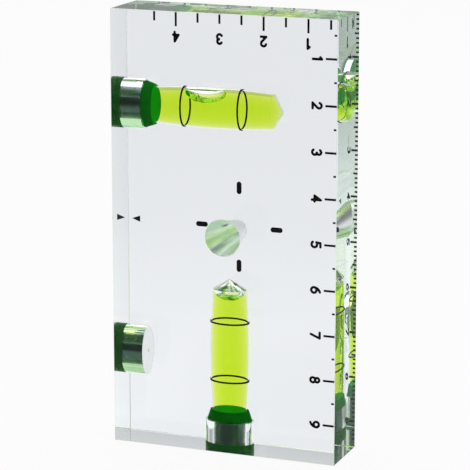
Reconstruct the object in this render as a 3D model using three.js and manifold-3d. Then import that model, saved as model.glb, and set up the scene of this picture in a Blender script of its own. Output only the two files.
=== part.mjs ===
// Magnetic spirit level: a clear acrylic block with two bubble vials bored straight into it, three
// magnets behind green caps, and a tapered hole for marking through.
// Millimetres, +Z up, front face towards -Y. The origin is the middle of the face it stands on.
import * as THREE from 'three';
import { mergeVertices } from 'three/addons/utils/BufferGeometryUtils.js';
import Module from 'manifold-3d';

const wasm = await Module();
wasm.setup();

// Block
const blockWidth = 51;
const blockDepth = 14;
const blockHeight = 95.5;
const edgeBreak = 0.15;

// Where the bores enter: the upper vial and the side magnet from the left face, the lower vial
// from the face that the block stands on
const upperVialFromTop = 20.8;
const sideMagnetFromBottom = 20;

// Magnets, and the bores that hold them
const magnetRadius = 5.4;
const magnetLength = 4.8;
const magnetChamfer = 0.3;
const magnetBoreRadius = 5.5;
const capThickness = 1.5;
const capRound = 0.15;
const pilotRadius = 0.45;
const pilotDepth = 0.35;

// Seals: tapered plugs between a magnet and the liquid
const sealLength = 2.2;
const sealWideRadius = 5.05;
const sealNarrowRadius = 4.35;

// Vial bores: ground to a barrel, widest in the middle, with the point that the drill left.
// Depths are measured along the bore from the face that it enters.
const vialDepth = 35.45;
const vialMiddle = 21.75;
const vialMiddleRadius = 4.4;
const barrelArcRadius = 170;
const drillPointDegrees = 118;

// Black rings, let into the bore's wall on both sides of the vial's middle
const ringSpacing = 13;
const ringWidth = 0.36;
const ringThickness = 0.2;

// Bubbles, where they lie in the standing block
const bubbleFilm = 0.1;
const upperBubbleAlong = 20.05;
const upperBubbleLength = 9.5;
const upperBubbleWidth = 5.6;
const upperBubbleRise = 3.4;
const upperBubbleBelow = 0.85;
const lowerBubbleWall = 0.4;
const lowerBubbleSag = 2.2;

// Tapered hole for marking through, on the block's centre line
const markHoleFromTop = 47.9;
const markHoleFrontRadius = 4;
const markHoleBackRadius = 2.2;

// Clearances: between seated pieces, and how far a cutting shape runs past what it cuts
const fitGap = 0.05;
const cutOverrun = 2;

// Counts
const roundSides = 32;
const barrelStations = 8;
const meniscusSteps = 6;
const bubbleRings = 12;

// Depths along a bore, worked out from the pieces that it holds
const seatDepth = capThickness + magnetLength;
const vialStart = seatDepth + sealLength;

// Closed solids from three.js geometry, and the way back
function solidFrom(geometry) {
  const bare = (geometry.index ? geometry.toNonIndexed() : geometry.clone());
  bare.deleteAttribute('normal');
  bare.deleteAttribute('uv');
  const merged = mergeVertices(bare);
  const corners = merged.index.array;
  const kept = [];
  for (let i = 0; i < corners.length; i += 3) {
    const [a, b, c] = [corners[i], corners[i + 1], corners[i + 2]];
    if (a !== b && b !== c && c !== a) kept.push(a, b, c);
  }
  const mesh = new wasm.Mesh({
    numProp: 3,
    vertProperties: new Float32Array(merged.attributes.position.array),
    triVerts: new Uint32Array(kept),
  });
  return new wasm.Manifold(mesh);
}

function geometryFrom(solid) {
  const mesh = solid.getMesh();
  const geometry = new THREE.BufferGeometry();
  geometry.setAttribute('position', new THREE.BufferAttribute(new Float32Array(mesh.vertProperties), 3));
  geometry.setIndex(new THREE.BufferAttribute(new Uint32Array(mesh.triVerts), 1));
  return geometry;
}

// A turned solid: the profile is a list of [radius, distance along the axis], from axis to axis
function turned(profile) {
  const points = profile.map(([radius, along]) => new THREE.Vector2(radius, along));
  return new THREE.LatheGeometry(points, roundSides);
}

// The barrel's wall is an arc of a large circle, so its radius follows from the place along the bore
function barrelRadius(along) {
  const away = along - vialMiddle;
  const drop = barrelArcRadius - Math.sqrt(barrelArcRadius ** 2 - away ** 2);
  return vialMiddleRadius - drop;
}

function barrelWall(from, to, inset) {
  const wall = [];
  for (let i = 0; i <= barrelStations; i += 1) {
    const along = from + ((to - from) * i) / barrelStations;
    wall.push([barrelRadius(along) - inset, along]);
  }
  return wall;
}

const ringPlaces = [vialMiddle - ringSpacing / 2, vialMiddle + ringSpacing / 2];
const drillPointHeight = barrelRadius(vialDepth) / Math.tan(THREE.MathUtils.degToRad(drillPointDegrees / 2));

// A groove for a ring, as four points that interrupt the bore's wall
function ringGroove(middle) {
  const half = ringWidth / 2 + fitGap;
  const wall = barrelRadius(middle);
  const floor = wall + ringThickness + fitGap;
  return [[wall, middle - half], [floor, middle - half], [floor, middle + half], [wall, middle + half]];
}

function vialBoreProfile() {
  const grooves = ringPlaces.flatMap(ringGroove);
  const clearOfGrooves = ([, along]) =>
    ringPlaces.every((middle) => Math.abs(along - middle) > ringWidth);
  const wall = [...barrelWall(vialStart, vialDepth, 0).filter(clearOfGrooves), ...grooves];
  wall.sort((one, other) => one[1] - other[1]);
  return [
    [0, -cutOverrun],
    [magnetBoreRadius, -cutOverrun],
    [magnetBoreRadius, seatDepth],
    [sealWideRadius, seatDepth],
    [sealNarrowRadius, vialStart],
    ...wall,
    [0, vialDepth + drillPointHeight],
  ];
}

function magnetBoreProfile() {
  const floor = seatDepth + fitGap;
  return [
    [0, -cutOverrun],
    [magnetBoreRadius, -cutOverrun],
    [magnetBoreRadius, floor],
    [pilotRadius, floor],
    [0, floor + pilotDepth],
  ];
}

// Assembly: one group for each bore, whose own Y axis runs along the bore into the block
const level = new THREE.Group();
const upperVialHeight = blockHeight - upperVialFromTop;

const upperVial = new THREE.Group();
upperVial.position.set(-blockWidth / 2, 0, upperVialHeight);
upperVial.rotation.z = -Math.PI / 2;

const sideSeat = new THREE.Group();
sideSeat.position.set(-blockWidth / 2, 0, sideMagnetFromBottom);
sideSeat.rotation.z = -Math.PI / 2;

const lowerVial = new THREE.Group();
lowerVial.rotation.x = Math.PI / 2;

for (const group of [upperVial, sideSeat, lowerVial]) {
  group.updateMatrix();
  level.add(group);
}

// Finishes
const acrylic = { color: 0xe6eaee, roughness: 0.05, metalness: 0, transparent: true, opacity: 0.3 };
const liquidGreen = { color: 0xbce02b, roughness: 0.05, metalness: 0, transparent: true, opacity: 0.7 };
const air = { color: 0xf4fbf0, roughness: 0.05, metalness: 0, transparent: true, opacity: 0.5 };
const plugGreen = { color: 0x14501c, roughness: 0.4, metalness: 0 };
const nickel = { color: 0xc9cfca, roughness: 0.15, metalness: 1 };
const ringBlack = { color: 0x0b0b0c, roughness: 0.5, metalness: 0 };

function addPiece(parent, name, geometry, finish) {
  const piece = new THREE.Mesh(geometry, new THREE.MeshStandardMaterial(finish));
  piece.name = name;
  parent.add(piece);
}

// Block: a plate with broken edges, less the bores and the tapered hole
function plate() {
  const [left, right] = [-blockWidth / 2, blockWidth / 2];
  const outline = new THREE.Shape();
  outline.moveTo(left + edgeBreak, 0);
  outline.lineTo(right - edgeBreak, 0);
  outline.lineTo(right, edgeBreak);
  outline.lineTo(right, blockHeight - edgeBreak);
  outline.lineTo(right - edgeBreak, blockHeight);
  outline.lineTo(left + edgeBreak, blockHeight);
  outline.lineTo(left, blockHeight - edgeBreak);
  outline.lineTo(left, edgeBreak);
  outline.closePath();
  const geometry = new THREE.ExtrudeGeometry(outline, {
    depth: blockDepth - 2 * edgeBreak,
    bevelThickness: edgeBreak,
    bevelSize: edgeBreak,
    bevelOffset: -edgeBreak,
    bevelSegments: 1,
  });
  geometry.rotateX(Math.PI / 2);
  geometry.translate(0, blockDepth / 2 - edgeBreak, 0);
  return geometry;
}

function markHole() {
  const taper = (markHoleFrontRadius - markHoleBackRadius) / blockDepth;
  const geometry = new THREE.CylinderGeometry(
    markHoleBackRadius - taper * cutOverrun,
    markHoleFrontRadius + taper * cutOverrun,
    blockDepth + 2 * cutOverrun,
    roundSides,
  );
  return geometry.translate(0, 0, blockHeight - markHoleFromTop);
}

const block = solidFrom(plate())
  .subtract(solidFrom(turned(vialBoreProfile()).applyMatrix4(upperVial.matrix)))
  .subtract(solidFrom(turned(vialBoreProfile()).applyMatrix4(lowerVial.matrix)))
  .subtract(solidFrom(turned(magnetBoreProfile()).applyMatrix4(sideSeat.matrix)))
  .subtract(solidFrom(markHole()));
addPiece(level, 'acrylic_block', geometryFrom(block), acrylic);

// Magnets, with the cap that closes each bore flush with the block's face
function magnet() {
  const rim = magnetRadius - magnetChamfer;
  const outer = capThickness + fitGap;
  return turned([
    [0, outer],
    [rim, outer],
    [magnetRadius, outer + magnetChamfer],
    [magnetRadius, seatDepth - magnetChamfer],
    [rim, seatDepth],
    [0, seatDepth],
  ]);
}

function magnetCap() {
  const radius = magnetBoreRadius - fitGap;
  return turned([
    [0, 0],
    [radius, 0],
    [radius, capThickness - capRound],
    [radius - capRound, capThickness],
    [0, capThickness],
  ]);
}

for (const [group, name] of [[upperVial, 'upper'], [lowerVial, 'lower'], [sideSeat, 'side']]) {
  addPiece(group, `${name}_magnet`, geometryFrom(solidFrom(magnet())), nickel);
  addPiece(group, `${name}_magnet_cap`, geometryFrom(solidFrom(magnetCap())), plugGreen);
}

// Seals: they fill the countersink and stand on the step where the vial begins
function vialSeal() {
  return turned([
    [0, seatDepth + fitGap],
    [sealWideRadius - fitGap, seatDepth + fitGap],
    [sealNarrowRadius - fitGap, vialStart - fitGap],
    [0, vialStart - fitGap],
  ]);
}

// Rings: bands of square section that lie in their grooves, flush with the bore's wall
function vialRing(middle) {
  const inner = barrelRadius(middle);
  const [low, high] = [middle - ringWidth / 2, middle + ringWidth / 2];
  const outer = inner + ringThickness;
  return turned([[inner, low], [outer, low], [outer, high], [inner, high], [inner, low]]);
}

for (const [group, name] of [[upperVial, 'upper'], [lowerVial, 'lower']]) {
  const [outerRing, innerRing] = ringPlaces.map((middle) => geometryFrom(solidFrom(vialRing(middle))));
  addPiece(group, `${name}_vial_seal`, geometryFrom(solidFrom(vialSeal())), plugGreen);
  addPiece(group, `${name}_vial_outer_ring`, outerRing, ringBlack);
  addPiece(group, `${name}_vial_inner_ring`, innerRing, ringBlack);
}

// The whole inside of a vial, less a film along its wall
function vialInside(inset) {
  return turned([
    [0, vialStart],
    ...barrelWall(vialStart, vialDepth, inset),
    [0, vialDepth + drillPointHeight - inset],
  ]);
}

// Upper bubble: an ellipsoid that the barrel's top wall cuts off. It lies along the bore, and its
// underside bulges down into the liquid.
function upperBubbleBlob(growth) {
  const blob = new THREE.SphereGeometry(1, roundSides, bubbleRings);
  const halfHeight = upperBubbleRise - upperBubbleBelow;
  blob.scale(
    upperBubbleWidth / 2 + growth,
    upperBubbleLength / 2 + growth,
    halfHeight + growth,
  );
  return solidFrom(blob.translate(0, upperBubbleAlong, upperBubbleRise));
}

const upperBubble = upperBubbleBlob(0).intersect(solidFrom(vialInside(bubbleFilm)));
const upperLiquid = solidFrom(vialInside(fitGap)).subtract(upperBubbleBlob(fitGap));
addPiece(upperVial, 'upper_vial_bubble', geometryFrom(upperBubble), air);
addPiece(upperVial, 'upper_vial_liquid', geometryFrom(upperLiquid), liquidGreen);

// Lower bubble: it fills the drill point, and the liquid below it meets it in a deep meniscus
const meniscusEdge = vialDepth - lowerBubbleWall;
const lowerBubbleRadius = barrelRadius(vialDepth) - bubbleFilm;

function meniscus(radius, depth, limit) {
  const arc = [];
  for (let i = 0; i <= meniscusSteps; i += 1) {
    const turn = (Math.PI / 2) * (i / meniscusSteps);
    const point = [radius * Math.sin(turn), meniscusEdge - depth * Math.cos(turn)];
    if (point[0] < limit) arc.push(point);
  }
  return arc;
}

function lowerBubble() {
  return turned([
    ...meniscus(lowerBubbleRadius, lowerBubbleSag, lowerBubbleRadius),
    [lowerBubbleRadius, meniscusEdge],
    [lowerBubbleRadius, vialDepth],
    [0, vialDepth + drillPointHeight - bubbleFilm],
  ]);
}

// The liquid's top is the meniscus kept clear of the bubble, out to where it reaches the wall
function lowerLiquid() {
  const surfaceRadius = lowerBubbleRadius + 2 * bubbleFilm;
  const surfaceDepth = lowerBubbleSag + fitGap;
  const wallRadius = barrelRadius(meniscusEdge) - fitGap;
  const rim = meniscusEdge - surfaceDepth * Math.sqrt(1 - (wallRadius / surfaceRadius) ** 2);
  const surface = meniscus(surfaceRadius, surfaceDepth, wallRadius - fitGap).reverse();
  return turned([
    [0, vialStart],
    ...barrelWall(vialStart, rim, fitGap),
    ...surface,
  ]);
}

addPiece(lowerVial, 'lower_vial_bubble', geometryFrom(solidFrom(lowerBubble())), air);
addPiece(lowerVial, 'lower_vial_liquid', geometryFrom(solidFrom(lowerLiquid())), liquidGreen);

export default level;
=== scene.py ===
# %% [markdown]
# A pocket block level is one plate of clear cast acrylic. Two blind bores in it are the vials: each is
# drilled, ground to a slight barrel, filled with green liquid round a bubble, and closed by a green
# seal with a disc magnet and a cap behind it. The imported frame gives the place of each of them.

# %% Load the frame
import math

import bpy
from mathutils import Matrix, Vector


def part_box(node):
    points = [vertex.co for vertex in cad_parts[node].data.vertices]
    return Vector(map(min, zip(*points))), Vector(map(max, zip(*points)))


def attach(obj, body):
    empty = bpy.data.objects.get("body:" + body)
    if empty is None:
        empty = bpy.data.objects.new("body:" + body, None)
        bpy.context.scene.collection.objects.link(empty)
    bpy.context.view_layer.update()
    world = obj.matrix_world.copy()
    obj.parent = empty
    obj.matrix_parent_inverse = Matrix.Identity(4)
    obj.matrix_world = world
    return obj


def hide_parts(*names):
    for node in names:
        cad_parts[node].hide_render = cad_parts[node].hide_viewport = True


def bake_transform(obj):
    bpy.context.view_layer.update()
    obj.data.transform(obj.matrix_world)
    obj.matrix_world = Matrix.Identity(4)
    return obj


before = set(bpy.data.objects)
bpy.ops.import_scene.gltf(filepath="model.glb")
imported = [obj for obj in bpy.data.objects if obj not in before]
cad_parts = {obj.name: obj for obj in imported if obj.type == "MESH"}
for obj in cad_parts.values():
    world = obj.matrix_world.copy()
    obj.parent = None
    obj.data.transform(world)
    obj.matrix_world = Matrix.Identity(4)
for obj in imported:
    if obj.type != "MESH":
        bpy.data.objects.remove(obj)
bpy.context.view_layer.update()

MM = 0.001
block_low, block_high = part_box("acrylic_block")
print("block, in millimetres:", [round(side / MM, 2) for side in block_high - block_low])

# %% [markdown]
# The photograph is taken from the right of the front face and a little above it, with a long lens, so
# the sides converge only slightly. The camera comes first: everything else is judged through it. Its
# place was found by fitting the block's corners and the printed scales.

# %% Camera
CAMERA_PLACE = Vector((183.17, -472.26, 162.88)) * MM
CAMERA_AZIMUTH = math.radians(21.178)
CAMERA_ELEVATION = math.radians(12.9)
CAMERA_ROLL = math.radians(-0.013)
CAMERA_LENS = 185.21
CAMERA_SENSOR = 36.0
CAMERA_NEAREST = 10 * MM


def make_camera():
    """Add the camera and aim it along the photograph's line of sight."""
    bpy.ops.object.camera_add(location=CAMERA_PLACE)
    camera = bpy.context.object
    level_part = math.cos(CAMERA_ELEVATION)
    sight = Vector((
        -math.sin(CAMERA_AZIMUTH) * level_part,
        math.cos(CAMERA_AZIMUTH) * level_part,
        -math.sin(CAMERA_ELEVATION),
    ))
    aim = sight.to_track_quat("-Z", "Y")
    camera.rotation_euler = aim.to_euler()
    camera.rotation_euler.rotate_axis("Z", CAMERA_ROLL)
    camera.data.lens = CAMERA_LENS
    camera.data.sensor_width = CAMERA_SENSOR
    camera.data.clip_start = CAMERA_NEAREST
    bpy.context.scene.camera = camera
    return camera


photo_camera = make_camera()
print("camera at", [round(v / MM) for v in photo_camera.location], "mm")

# %% [markdown]
# Light runs through many surfaces here: acrylic, liquid, bubble, and back out. Each crossing is one
# bounce, and light that meets a polished face at a low angle is thrown back inside and crosses again.
# The path length is set high enough that such light reaches the studio instead of ending black.

# %% Path length and colour handling
LONGEST_PATH = 64
DIFFUSE_PATH = 4
scene = bpy.context.scene
scene.view_settings.view_transform = "Standard"
scene.cycles.max_bounces = LONGEST_PATH
scene.cycles.transmission_bounces = LONGEST_PATH
scene.cycles.glossy_bounces = LONGEST_PATH
scene.cycles.transparent_max_bounces = LONGEST_PATH
scene.cycles.diffuse_bounces = DIFFUSE_PATH
scene.cycles.caustics_reflective = True
scene.cycles.caustics_refractive = True
print("longest light path:", LONGEST_PATH)

# %% [markdown]
# Modelling works on one object at a time. An operator acts on all that is selected, and the frame
# arrives selected, so each step starts by choosing its own piece alone.

# %% Helpers: choosing a piece and its mode
WELD = 0.00001 * MM


def only(piece):
    """Select one piece and nothing else."""
    bpy.ops.object.select_all(action="DESELECT")
    piece.select_set(True)
    bpy.context.view_layer.objects.active = piece


def start_edit(kind="VERT"):
    """Enter edit mode, ready to pick points, edges or faces."""
    bpy.ops.object.mode_set(mode="EDIT")
    bpy.ops.mesh.select_mode(type=kind)


def end_edit():
    """Go back to object mode."""
    bpy.ops.object.mode_set(mode="OBJECT")


def settle(piece, name):
    """Name a piece and move its place into its mesh, so that its object sits at the origin."""
    piece.name = name
    only(piece)
    bpy.ops.object.transform_apply(location=True, rotation=True, scale=True)
    return piece


def soften(piece, degrees=30):
    """Shade smoothly, but keep edges sharper than the angle."""
    only(piece)
    bpy.ops.object.shade_smooth_by_angle(angle=math.radians(degrees))
    return piece


# %% Helpers: modifiers, cuts and copies
def finish_with(piece, kind, **settings):
    """Add a modifier with these settings, and apply it."""
    only(piece)
    bpy.ops.object.modifier_add(type=kind)
    modifier = piece.modifiers[-1]
    for setting, value in settings.items():
        setattr(modifier, setting, value)
    bpy.ops.object.modifier_apply(modifier=modifier.name)
    return piece


def carve(piece, cutter, operation="DIFFERENCE"):
    """Cut one solid with another, and take the cutter away."""
    finish_with(piece, "BOOLEAN", operation=operation, solver="EXACT", object=cutter)
    bpy.data.objects.remove(cutter)
    return piece


def twin(piece, name):
    """Copy a piece with a mesh of its own."""
    only(piece)
    bpy.ops.object.duplicate(linked=False)
    copy = bpy.context.object
    copy.name = name
    return copy


def grown(piece, name, by):
    """A copy of a piece, larger all round by a length, or smaller where it is negative."""
    copy = twin(piece, name)
    start_edit()
    bpy.ops.mesh.select_all(action="SELECT")
    bpy.ops.transform.shrink_fatten(value=by)
    end_edit()
    return copy


# %% [markdown]
# Almost everything in the block is turned: bores, magnets, caps, seals, rings and liquid. A turned
# piece is drawn as half a section, traced by extruding one point from corner to corner, and spun round
# the bore's axis. One helper does it for every bore, so the pieces of one bore always share an axis.

# %% Bores and the spin helper
SPIN_STEPS = 160
UP, RIGHT = Vector((0, 0, 1)), Vector((1, 0, 0))


def middle(node):
    """The centre of a node's box."""
    low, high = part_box(node)
    return (low + high) / 2


def bore_from_left(node):
    """A bore through the left face at a node's height: its mouth, its axis and a way out from it."""
    return Vector((block_low.x, 0, middle(node).z)), RIGHT, UP


UPPER_BORE = bore_from_left("upper_magnet")
SIDE_BORE = bore_from_left("side_magnet")
LOWER_BORE = (Vector((0, 0, block_low.z)), UP, RIGHT)


def spun(name, profile, bore, steps=SPIN_STEPS):
    """Trace a section given as (radius, depth) pairs, and spin it round the bore's axis."""
    mouth, inward, outward = bore
    corners = [mouth + inward * depth + outward * radius for radius, depth in profile]
    bpy.ops.object.select_all(action="DESELECT")
    bpy.ops.mesh.primitive_plane_add(size=MM, location=corners[0])
    piece = settle(bpy.context.object, name)
    start_edit()
    bpy.ops.mesh.select_all(action="SELECT")
    bpy.ops.mesh.merge(type="CENTER")
    for here, there in zip(corners, corners[1:]):
        bpy.ops.mesh.extrude_region_move(TRANSFORM_OT_translate={"value": there - here})
    bpy.ops.mesh.select_all(action="SELECT")
    bpy.ops.mesh.spin(steps=steps, angle=math.tau, center=mouth, axis=inward)
    bpy.ops.mesh.select_all(action="SELECT")
    bpy.ops.mesh.remove_doubles(threshold=WELD)
    bpy.ops.mesh.normals_make_consistent(inside=False)
    end_edit()
    return piece


# %% [markdown]
# Both vials are made alike, and so are the three magnets. The lower vial stands on the face that the
# block stands on, at height zero, so the tops and bottoms of its boxes in the frame are depths.

# %% Sizes along a bore, read from the frame
CAP_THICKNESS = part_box("lower_magnet_cap")[1].z
MAGNET_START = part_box("lower_magnet")[0].z
SEAT_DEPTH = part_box("lower_magnet")[1].z
SEAL_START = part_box("lower_vial_seal")[0].z
VIAL_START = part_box("lower_vial_liquid")[0].z
MAGNET_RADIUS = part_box("lower_magnet")[1].x
MAGNET_BORE_RADIUS = 5.5 * MM
SEAL_WIDE_RADIUS = 5.05 * MM
SEAL_NARROW_RADIUS = 4.35 * MM
VIAL_DEPTH = 35.45 * MM
VIAL_MIDDLE = 21.75 * MM
VIAL_MIDDLE_RADIUS = 4.4 * MM
BARREL_ARC_RADIUS = 170 * MM
DRILL_POINT_HALF_ANGLE = math.radians(59)
print("magnet seat", round(SEAT_DEPTH / MM, 2), "mm deep, liquid from", round(VIAL_START / MM, 2), "mm")

# %% [markdown]
# A vial's wall isn't straight: it is ground to a slight barrel, so that the bubble has one highest
# place to rest. The section is an arc of a large circle, written as a formula, and a drill point closes
# the far end.

# %% The barrel's section
BARREL_STATIONS = 28


def barrel_radius(depth):
    """The wall is an arc of a large circle, so the vial is widest at its middle."""
    away = depth - VIAL_MIDDLE
    return VIAL_MIDDLE_RADIUS - BARREL_ARC_RADIUS + math.sqrt(BARREL_ARC_RADIUS**2 - away**2)


DRILL_POINT_HEIGHT = barrel_radius(VIAL_DEPTH) / math.tan(DRILL_POINT_HALF_ANGLE)
VIAL_TIP = VIAL_DEPTH + DRILL_POINT_HEIGHT


def barrel_wall(start, end, inset=0.0, stations=BARREL_STATIONS):
    """Points along the barrel's wall from one depth to another."""
    depths = [start + (end - start) * i / stations for i in range(stations + 1)]
    return [(barrel_radius(depth) - inset, depth) for depth in depths]


print("vial radius at its middle and its end, in millimetres:",
      [round(barrel_radius(depth) / MM, 2) for depth in (VIAL_MIDDLE, VIAL_DEPTH)])

# %% [markdown]
# Clear plastic is mostly what happens at its surfaces. The outside of the block meets air, so it bends
# light by the full index of acrylic, 1.49. Inside a vial the wall meets liquid of index 1.44, so it
# bends light by the ratio of the two, only 1.035, and nearly vanishes. The liquid itself then bends
# nothing more and only colours: its volume takes the blue and some red out of light that crosses it.

# %% Shared material tools
ACRYLIC_INDEX = 1.49
LIQUID_INDEX = 1.44


def new_material(name):
    """A material with a Principled BSDF, and its node tree."""
    material = bpy.data.materials.new(name)
    material.use_nodes = True
    return material, material.node_tree, material.node_tree.nodes["Principled BSDF"]


# %% [markdown]
# No real surface has the same colour and gloss all over. Each finish here is a little uneven, and all of
# them use the same soft noise, so it is built once as a node group and given a size in each material.

# %% Soft mottling
MOTTLE_DETAIL = 4.0
MOTTLE_RANGE = (0.3, 0.7)


def make_mottle_group():
    """A node group: soft mottling in object space, as a value round 0.5."""
    group = bpy.data.node_groups.new("soft mottle", "ShaderNodeTree")
    group.interface.new_socket("Size per metre", in_out="INPUT", socket_type="NodeSocketFloat")
    group.interface.new_socket("Stretch", in_out="INPUT", socket_type="NodeSocketVector")
    group.interface.new_socket("Value", in_out="OUTPUT", socket_type="NodeSocketFloat")
    nodes, links = group.nodes, group.links
    entry = nodes.new("NodeGroupInput")
    exit_node = nodes.new("NodeGroupOutput")
    place = nodes.new("ShaderNodeTexCoord")
    stretch = nodes.new("ShaderNodeVectorMath")
    stretch.operation = "MULTIPLY"
    noise = nodes.new("ShaderNodeTexNoise")
    noise.inputs["Detail"].default_value = MOTTLE_DETAIL
    links.new(place.outputs["Object"], stretch.inputs[0])
    links.new(entry.outputs["Stretch"], stretch.inputs[1])
    links.new(stretch.outputs["Vector"], noise.inputs["Vector"])
    links.new(entry.outputs["Size per metre"], noise.inputs["Scale"])
    links.new(noise.outputs["Fac"], exit_node.inputs["Value"])
    return group


MOTTLE = make_mottle_group()


def mottle(tree, size, stretch=(1, 1, 1)):
    """Place the mottle group in a material; size is the width of one patch."""
    node = tree.nodes.new("ShaderNodeGroup")
    node.node_tree = MOTTLE
    node.inputs["Size per metre"].default_value = 1 / size
    node.inputs["Stretch"].default_value = stretch
    return node.outputs["Value"]


# %% From a value to a colour, a number or a relief
MIX_COLOUR_A, MIX_COLOUR_B, MIX_RESULT = 6, 7, 2
BUMP_STRENGTH = 0.5


def ramp(tree, value, low, high):
    """Turn a value into a colour between two."""
    node = tree.nodes.new("ShaderNodeMix")
    node.data_type = "RGBA"
    tree.links.new(value, node.inputs["Factor"])
    node.inputs[MIX_COLOUR_A].default_value = (*low, 1)
    node.inputs[MIX_COLOUR_B].default_value = (*high, 1)
    return node.outputs[MIX_RESULT]


def math_node(tree, operation, *values):
    """A math node; a value is a number or another node's output."""
    node = tree.nodes.new("ShaderNodeMath")
    node.operation = operation
    for socket, value in zip(node.inputs, values):
        if isinstance(value, (int, float)):
            socket.default_value = value
        else:
            tree.links.new(value, socket)
    return node.outputs[0]


def grey_ramp(tree, value, levels):
    """Turn a value from 0 to 1 into a brightness, by levels given at places along it."""
    node = tree.nodes.new("ShaderNodeValToRGB")
    elements = node.color_ramp.elements
    places = sorted(levels)
    elements[0].position, elements[1].position = places[0], places[-1]
    for place in places[1:-1]:
        elements.new(place)
    for element, place in zip(elements, places):
        element.color = (levels[place], levels[place], levels[place], 1)
    tree.links.new(value, node.inputs["Fac"])
    return node.outputs["Color"]


def spread(tree, value, low, high):
    """Turn a value round 0.5 into a number between low and high."""
    node = tree.nodes.new("ShaderNodeMapRange")
    node.inputs["From Min"].default_value = MOTTLE_RANGE[0]
    node.inputs["From Max"].default_value = MOTTLE_RANGE[1]
    node.inputs["To Min"].default_value = low
    node.inputs["To Max"].default_value = high
    tree.links.new(value, node.inputs["Value"])
    return node.outputs["Result"]


def bump(tree, shader, value, depth):
    """Raise the surface by a value, up to a depth."""
    node = tree.nodes.new("ShaderNodeBump")
    node.inputs["Distance"].default_value = depth
    node.inputs["Strength"].default_value = BUMP_STRENGTH
    tree.links.new(value, node.inputs["Height"])
    tree.links.new(node.outputs["Normal"], shader.inputs["Normal"])


# %% [markdown]
# Four materials make the block: polished faces in air, walls that touch liquid, the drill's rougher cone
# and cuts left unpolished. Light that is thrown back inside the cast acrylic is also given a painted pale
# green glow on its long way. A second body just inside the surface carries that: it bends nothing, and
# its painted glow is added to mirrored light only, so that the view straight through stays clear.

# %% Clear materials
ACRYLIC_TINTS = ((0.925, 0.945, 0.975), (0.915, 0.939, 0.973))
WALL_TINTS = ((1, 1, 1), (0.99, 0.995, 0.99))
FILM_TINTS = ((1, 1, 1), (0.995, 1, 0.995))
CAST_PATCH = 18 * MM
CONE_ROUGHNESS, CUT_ROUGHNESS = 0.35, 0.3
WALL_INDEX = ACRYLIC_INDEX / LIQUID_INDEX
NO_BENDING = 1.0
PAINTED_GLOW_COLOUR = (0.62, 1.0, 0.72)
PAINTED_GLOW_PER_METRE = 3.0


def make_clear(shader, index, roughness=0.0):
    """Let light through, bent by the index; the surface is polished unless told otherwise."""
    shader.inputs["Roughness"].default_value = roughness
    shader.inputs["IOR"].default_value = index
    shader.inputs["Transmission Weight"].default_value = 1.0


def clear_material(name, index, tints, roughness=0.0, patch=CAST_PATCH):
    """Clear, with a tint that varies slowly, as in cast sheet; patch is the width of one patch."""
    material, tree, shader = new_material(name)
    tree.links.new(ramp(tree, mottle(tree, patch), *tints), shader.inputs["Base Color"])
    make_clear(shader, index, roughness)
    return material


def haze_material():
    """A volume with a painted pale green glow that only mirrored light picks up. Its own surface bends
    nothing.
    """
    material = clear_material("acrylic painted glow", NO_BENDING, FILM_TINTS)
    tree = material.node_tree
    glow = tree.nodes.new("ShaderNodeEmission")
    glow.inputs["Color"].default_value = (*PAINTED_GLOW_COLOUR, 1)
    path = tree.nodes.new("ShaderNodeLightPath")
    thrown_back = math_node(tree, "MINIMUM", path.outputs["Glossy Depth"], 1.0)
    tree.links.new(math_node(tree, "MULTIPLY", thrown_back, PAINTED_GLOW_PER_METRE), glow.inputs["Strength"])
    tree.links.new(glow.outputs["Emission"], tree.nodes["Material Output"].inputs["Volume"])
    return material


acrylic_in_air = clear_material("acrylic in air", ACRYLIC_INDEX, ACRYLIC_TINTS)
acrylic_in_liquid = clear_material("acrylic in liquid", WALL_INDEX, WALL_TINTS)
drilled_in_liquid = clear_material("drilled acrylic in liquid", WALL_INDEX, WALL_TINTS, CONE_ROUGHNESS)
reamed_hole = clear_material("reamed hole", ACRYLIC_INDEX, ACRYLIC_TINTS, CUT_ROUGHNESS)
# The block's painted pale green glow, seen by mirrored light only.
acrylic_painted_glow = haze_material()
film_outside = clear_material("liquid film outside", NO_BENDING, FILM_TINTS)
film_inside = clear_material("liquid film inside", LIQUID_INDEX, FILM_TINTS)
print("acrylic bends light by", ACRYLIC_INDEX, "in air and by", round(WALL_INDEX, 3), "in liquid")

# %% [markdown]
# In the upright vial the liquid clings to the drill's cone and shows as darker streaks that run from its
# tip outwards. Streaks could be painted by hand, but noise read by the direction round the vial's axis
# gives lines that keep to that direction by themselves. Below the cone the film is even.

# %% Streaked film on the cone
STREAK_SCALE = 2.2
STREAK_DETAIL = 3.0
STREAK_RANGE = (-1.1, 2.3)
STREAK_TINTS = ((0.25, 0.34, 0.27), (1, 1, 1))
ACROSS_AXIS = (1, 1, 0)


def streaked_film(name):
    """A liquid film with streaks that fan out from the vial's axis; below the cone it is even."""
    material, tree, shader = new_material(name)
    place = tree.nodes.new("ShaderNodeTexCoord")
    across = tree.nodes.new("ShaderNodeVectorMath")
    across.operation = "MULTIPLY"
    tree.links.new(place.outputs["Object"], across.inputs[0])
    across.inputs[1].default_value = ACROSS_AXIS
    direction = tree.nodes.new("ShaderNodeVectorMath")
    direction.operation = "NORMALIZE"
    tree.links.new(across.outputs["Vector"], direction.inputs[0])
    noise = tree.nodes.new("ShaderNodeTexNoise")
    noise.inputs["Scale"].default_value = STREAK_SCALE
    noise.inputs["Detail"].default_value = STREAK_DETAIL
    tree.links.new(direction.outputs["Vector"], noise.inputs["Vector"])
    streaks = spread(tree, noise.outputs["Fac"], *STREAK_RANGE)
    split = tree.nodes.new("ShaderNodeSeparateXYZ")
    tree.links.new(place.outputs["Object"], split.inputs[0])
    below_cone = math_node(tree, "LESS_THAN", split.outputs["Z"], VIAL_DEPTH)
    even = math_node(tree, "MAXIMUM", streaks, below_cone)
    tree.links.new(ramp(tree, even, *STREAK_TINTS), shader.inputs["Base Color"])
    make_clear(shader, NO_BENDING)
    return material


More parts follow.
